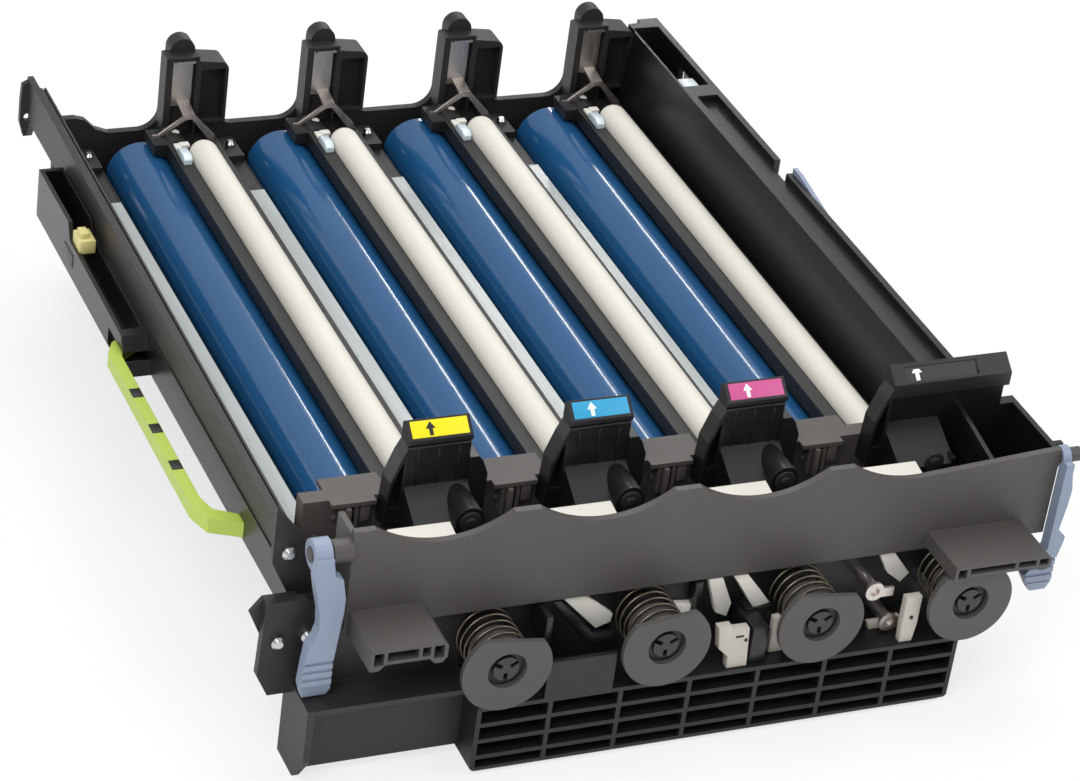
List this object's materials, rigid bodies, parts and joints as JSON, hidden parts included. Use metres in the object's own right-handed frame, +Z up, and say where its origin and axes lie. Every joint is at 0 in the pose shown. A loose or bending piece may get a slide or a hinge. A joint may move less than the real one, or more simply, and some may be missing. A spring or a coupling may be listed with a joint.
{
  "type": "printer drum unit",
  "caption": "Tandem colour printer drum unit: a frame holding drums side by side, with cleaners, waste augers, sprung port shutters, label hoods and grip levers.",
  "frame": {"origin": "centre of the bounding box at the height of the block's underside", "axes": "+X across the stations towards the corner bin, +Y from the front panel to the gear side, +Z up"},
  "size_m": [0.285, 0.3468, 0.106],
  "materials": {
    "dark_plastic": "fine satin",
    "black_plastic": "fine satin",
    "grey_plastic": "fine satin",
    "lever_blue": "satin",
    "handle_green": "satin",
    "bright_steel": "bright",
    "contact_metal": "satin",
    "white_plastic": "satin",
    "drum_coating": "glossy",
    "gear_plastic": "satin",
    "ivory_plastic": "satin",
    "seal_film": "smooth film",
    "spring_steel": "satin wire",
    "roller_rubber": "smooth"
  },
  "bodies": {
    "base": {"rear_wall": "dark_plastic", "left_rail": "grey_plastic", "left_side_wall": "black_plastic", "right_trough": "black_plastic", "front_panel": "grey_plastic", "front_bulkhead": "dark_plastic", "lower_housing": "black_plastic", "base_skirt": "grey_plastic", "corner_bracket": "dark_plastic", "green_handle": "handle_green", "screws": "bright_steel", "metal_contacts": "contact_metal", "white_inserts": "white_plastic", "grip_tab": "lever_blue", "hood_1": "black_plastic", "hood_2": "black_plastic", "hood_3": "black_plastic", "hood_4": "black_plastic", "cleaner_bar_1": "ivory_plastic", "cleaner_bar_2": "ivory_plastic", "cleaner_bar_3": "ivory_plastic", "cleaner_bar_4": "ivory_plastic", "station_housing_1": "dark_plastic", "station_housing_2": "dark_plastic", "station_housing_3": "dark_plastic", "station_housing_4": "dark_plastic", "film_seal_1": "seal_film", "film_seal_2": "seal_film", "film_seal_3": "seal_film", "film_seal_4": "seal_film", "shutter_spring_1": "spring_steel", "shutter_spring_2": "spring_steel", "shutter_spring_3": "spring_steel", "shutter_spring_4": "spring_steel"},
    "left_lever": {"left_lever": "lever_blue"},
    "right_lever": {"right_lever": "lever_blue"},
    "drum_1": {"drum_1": "drum_coating", "drum_axle_1": "gear_plastic", "drum_gear_1": "gear_plastic"},
    "waste_auger_1": {"waste_auger_1": "white_plastic"},
    "charge_roller_1": {"charge_roller_1": "roller_rubber"},
    "shutter_disc_1": {"shutter_disc_1": "grey_plastic"},
    "drum_2": {"drum_2": "drum_coating", "drum_axle_2": "gear_plastic", "drum_gear_2": "gear_plastic"},
    "waste_auger_2": {"waste_auger_2": "white_plastic"},
    "charge_roller_2": {"charge_roller_2": "roller_rubber"},
    "shutter_disc_2": {"shutter_disc_2": "grey_plastic"},
    "drum_3": {"drum_3": "drum_coating", "drum_axle_3": "gear_plastic", "drum_gear_3": "gear_plastic"},
    "waste_auger_3": {"waste_auger_3": "white_plastic"},
    "charge_roller_3": {"charge_roller_3": "roller_rubber"},
    "shutter_disc_3": {"shutter_disc_3": "grey_plastic"},
    "drum_4": {"drum_4": "drum_coating", "drum_axle_4": "gear_plastic", "drum_gear_4": "gear_plastic"},
    "waste_auger_4": {"waste_auger_4": "white_plastic"},
    "charge_roller_4": {"charge_roller_4": "roller_rubber"},
    "shutter_disc_4": {"shutter_disc_4": "grey_plastic"}
  },
  "joints": [
    {"name": "left_lever_swing", "type": "hinge", "parent": "base", "child": "left_lever", "pos_m": [-0.1255, -0.15085, 0.083], "axis": [-1, 0, 0], "range_deg": [0, 35]},
    {"name": "right_lever_swing", "type": "hinge", "parent": "base", "child": "right_lever", "pos_m": [0.1363, -0.15085, 0.083], "axis": [-1, 0, 0], "range_deg": [0, 35]},
    {"name": "drum_spin_1", "type": "hinge", "parent": "base", "child": "drum_1", "pos_m": [-0.0905, 0.02015, 0.0485], "axis": [0, 1, 0], "continuous": true},
    {"name": "auger_spin_1", "type": "hinge", "parent": "base", "child": "waste_auger_1", "pos_m": [-0.06562, 0.02015, 0.0429], "axis": [0, 1, 0], "continuous": true},
    {"name": "charge_spin_1", "type": "hinge", "parent": "base", "child": "charge_roller_1", "pos_m": [-0.10309, 0.02015, 0.03591], "axis": [0, 1, 0], "continuous": true},
    {"name": "shutter_push_1", "type": "slide", "parent": "base", "child": "shutter_disc_1", "axis": [0, 1, 0], "range_m": [0, 0.006], "stiffness_N_per_m": 150, "springref_m": -0.004, "deforming": ["shutter_spring_1"]},
    {"name": "drum_spin_2", "type": "hinge", "parent": "base", "child": "drum_2", "pos_m": [-0.0355, 0.02015, 0.0485], "axis": [0, 1, 0], "continuous": true},
    {"name": "auger_spin_2", "type": "hinge", "parent": "base", "child": "waste_auger_2", "pos_m": [-0.01062, 0.02015, 0.0429], "axis": [0, 1, 0], "continuous": true},
    {"name": "charge_spin_2", "type": "hinge", "parent": "base", "child": "charge_roller_2", "pos_m": [-0.04809, 0.02015, 0.03591], "axis": [0, 1, 0], "continuous": true},
    {"name": "shutter_push_2", "type": "slide", "parent": "base", "child": "shutter_disc_2", "axis": [0, 1, 0], "range_m": [0, 0.006], "stiffness_N_per_m": 150, "springref_m": -0.004, "deforming": ["shutter_spring_2"]},
    {"name": "drum_spin_3", "type": "hinge", "parent": "base", "child": "drum_3", "pos_m": [0.0195, 0.02015, 0.0485], "axis": [0, 1, 0], "continuous": true},
    {"name": "auger_spin_3", "type": "hinge", "parent": "base", "child": "waste_auger_3", "pos_m": [0.04438, 0.02015, 0.0429], "axis": [0, 1, 0], "continuous": true},
    {"name": "charge_spin_3", "type": "hinge", "parent": "base", "child": "charge_roller_3", "pos_m": [0.00691, 0.02015, 0.03591], "axis": [0, 1, 0], "continuous": true},
    {"name": "shutter_push_3", "type": "slide", "parent": "base", "child": "shutter_disc_3", "axis": [0, 1, 0], "range_m": [0, 0.006], "stiffness_N_per_m": 150, "springref_m": -0.004, "deforming": ["shutter_spring_3"]},
    {"name": "drum_spin_4", "type": "hinge", "parent": "base", "child": "drum_4", "pos_m": [0.0745, 0.02015, 0.0485], "axis": [0, 1, 0], "continuous": true},
    {"name": "auger_spin_4", "type": "hinge", "parent": "base", "child": "waste_auger_4", "pos_m": [0.09938, 0.02015, 0.0429], "axis": [0, 1, 0], "continuous": true},
    {"name": "charge_spin_4", "type": "hinge", "parent": "base", "child": "charge_roller_4", "pos_m": [0.06191, 0.02015, 0.03591], "axis": [0, 1, 0], "continuous": true},
    {"name": "shutter_push_4", "type": "slide", "parent": "base", "child": "shutter_disc_4", "axis": [0, 1, 0], "range_m": [0, 0.006], "stiffness_N_per_m": 150, "springref_m": -0.004, "deforming": ["shutter_spring_4"]}
  ],
  "couplings": [
    {"joint": "auger_spin_1", "follows": "drum_spin_1", "ratio": -0.66667},
    {"joint": "charge_spin_1", "follows": "drum_spin_1", "ratio": -2.5},
    {"joint": "auger_spin_2", "follows": "drum_spin_2", "ratio": -0.66667},
    {"joint": "charge_spin_2", "follows": "drum_spin_2", "ratio": -2.5},
    {"joint": "auger_spin_3", "follows": "drum_spin_3", "ratio": -0.66667},
    {"joint": "charge_spin_3", "follows": "drum_spin_3", "ratio": -2.5},
    {"joint": "auger_spin_4", "follows": "drum_spin_4", "ratio": -0.66667},
    {"joint": "charge_spin_4", "follows": "drum_spin_4", "ratio": -2.5}
  ]
}
